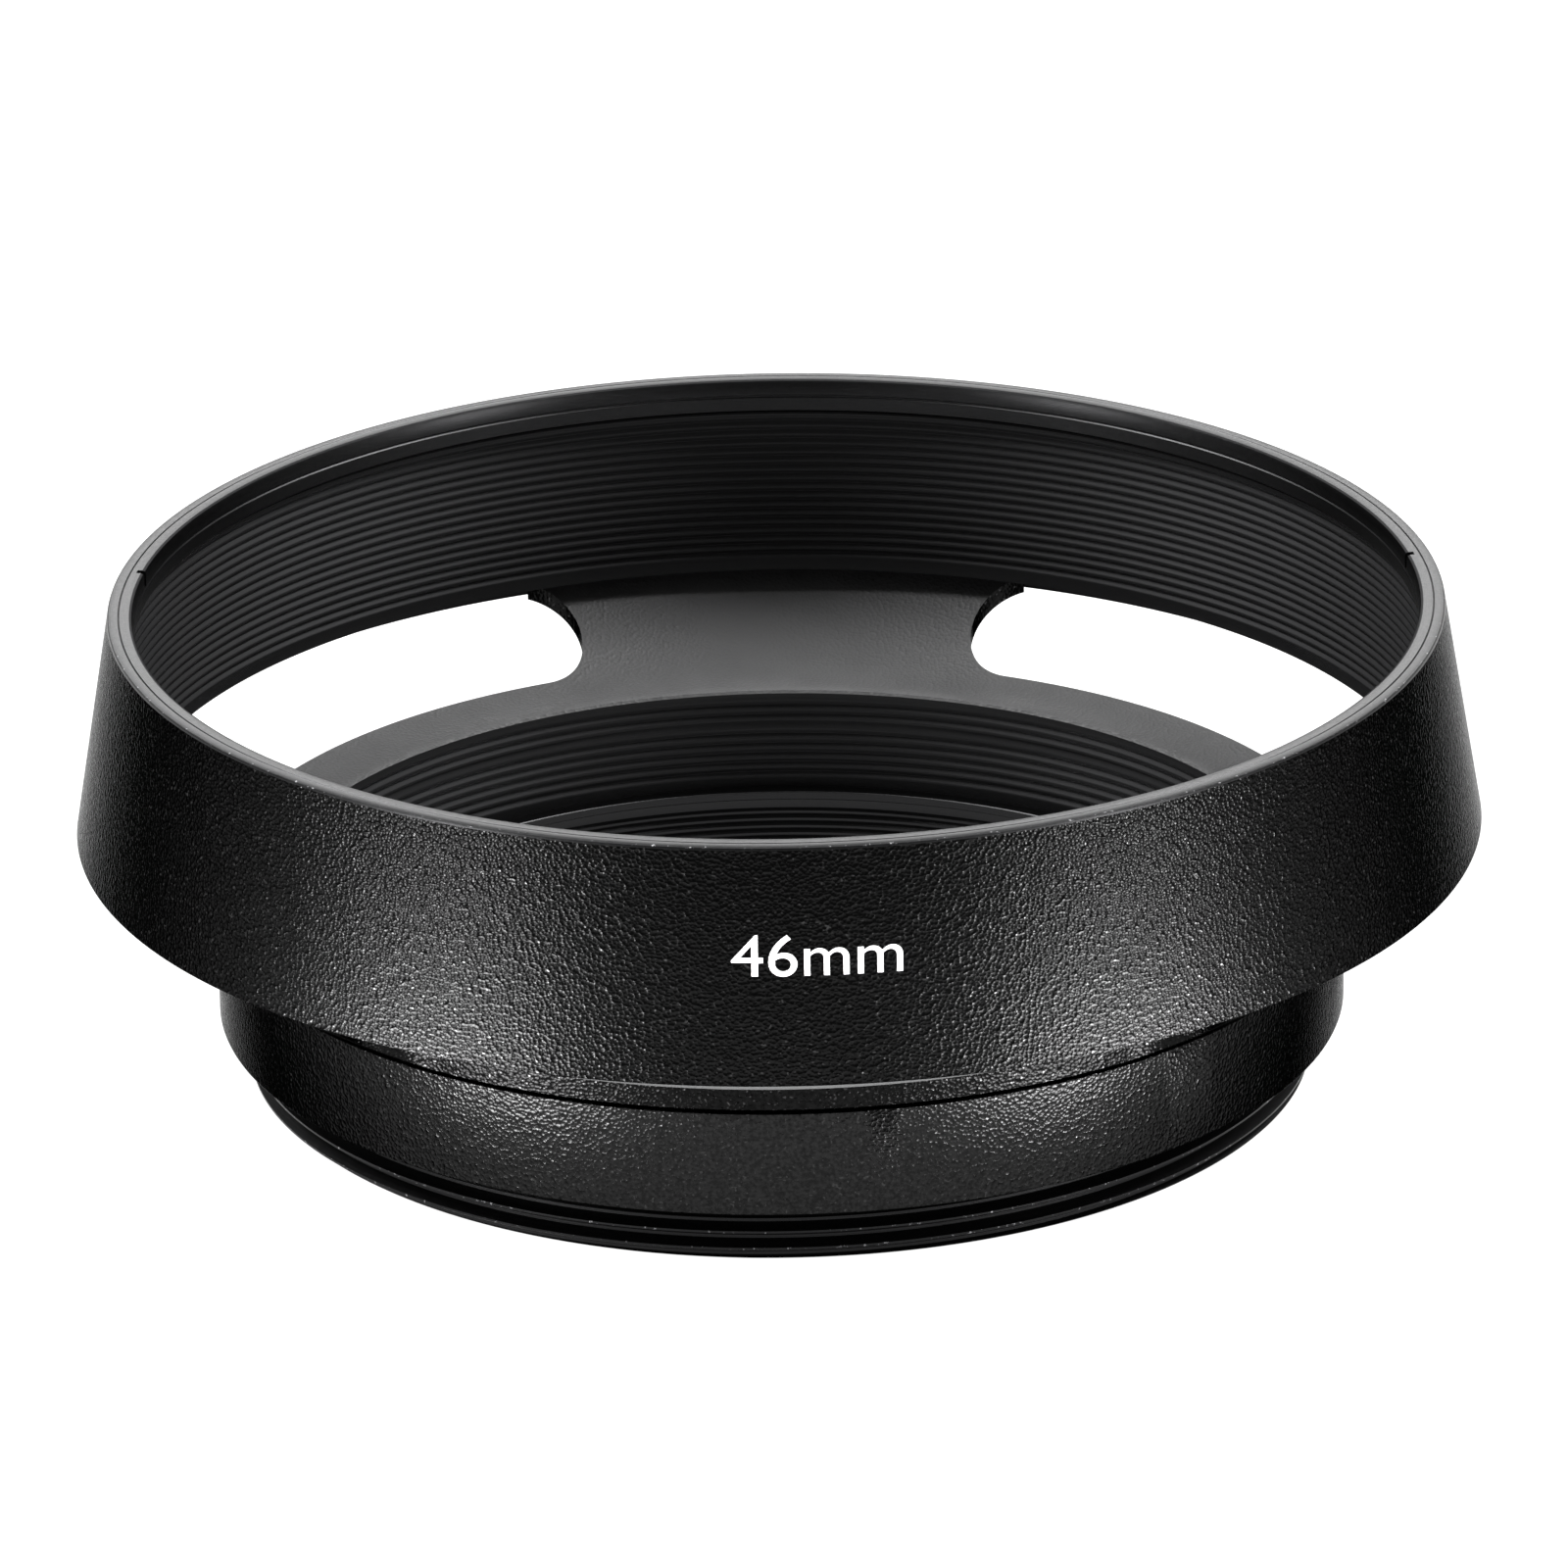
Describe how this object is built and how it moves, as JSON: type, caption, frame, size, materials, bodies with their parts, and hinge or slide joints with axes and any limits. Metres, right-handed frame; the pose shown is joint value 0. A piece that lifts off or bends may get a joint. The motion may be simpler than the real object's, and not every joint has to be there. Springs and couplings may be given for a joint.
{
  "type": "lens hood",
  "caption": "Round vented lens hood: a conical shade on a dished, slotted flange, with a ridged barrel and a short male filter thread.",
  "frame": {"origin": "centre of the rear edge of the thread, on the light axis", "axes": "+Z along the light axis from the lens towards the front rim; -Y towards the side that carries the size marking, which is also the middle of one vent slot"},
  "size_m": [0.0604, 0.0604, 0.0208],
  "materials": {
    "black_blasted_metal": "bead-blasted and black anodised, fine grain, satin",
    "black_satin_metal": "smooth turned and black anodised, satin",
    "black_turned_metal": "fine turned and black anodised, semi-gloss"
  },
  "bodies": {
    "root": {"thread_ring": "black_turned_metal", "mount_barrel": "black_blasted_metal", "vent_spider": "black_satin_metal", "shade_ring": "black_blasted_metal", "front_trim_ring": "black_turned_metal"}
  },
  "joints": []
}
